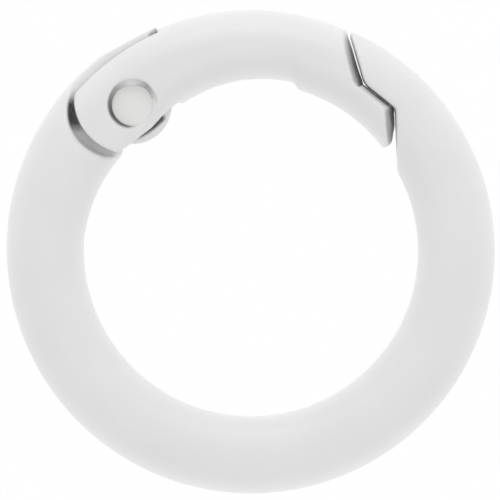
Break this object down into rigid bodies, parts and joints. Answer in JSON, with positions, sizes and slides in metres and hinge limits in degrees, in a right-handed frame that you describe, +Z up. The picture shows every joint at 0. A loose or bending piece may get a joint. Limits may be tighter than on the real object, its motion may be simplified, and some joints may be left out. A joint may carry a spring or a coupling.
{
  "type": "spring gate ring clasp",
  "caption": "White round snap ring of cast metal, lying flat, with an inward-opening gate on a riveted hinge that a small torsion spring closes.",
  "frame": {"origin": "on the ring's axis, at the underside the ring lies on", "axes": "+Z up along the ring's axis, +Y from the eye towards the gate's arm, with the hinge at the upper left and the mouth at the upper right seen from above"},
  "size_m": [0.0244, 0.0242, 0.0039],
  "materials": {
    "ring_paint": "satin white spray coat on die-cast zinc",
    "gate_paint": "satin white spray coat on die-cast zinc, bare dark metal on the end faces",
    "rivet_paint": "satin white spray coat on steel",
    "spring_steel": "drawn spring wire"
  },
  "bodies": {
    "ring_body": {"ring_body": "ring_paint", "torsion_spring": "spring_steel"},
    "gate": {"gate": "gate_paint", "hinge_rivet": "rivet_paint"}
  },
  "joints": [
    {"name": "gate_hinge", "type": "hinge", "parent": "ring_body", "child": "gate", "pos_m": [-0.00591, 0.00719, 0.00195], "axis": [0, 0, -1], "range_deg": [0, 80], "stiffness_Nm_per_rad": 0.0012, "springref_deg": -57.3, "deforming": ["torsion_spring"]}
  ]
}
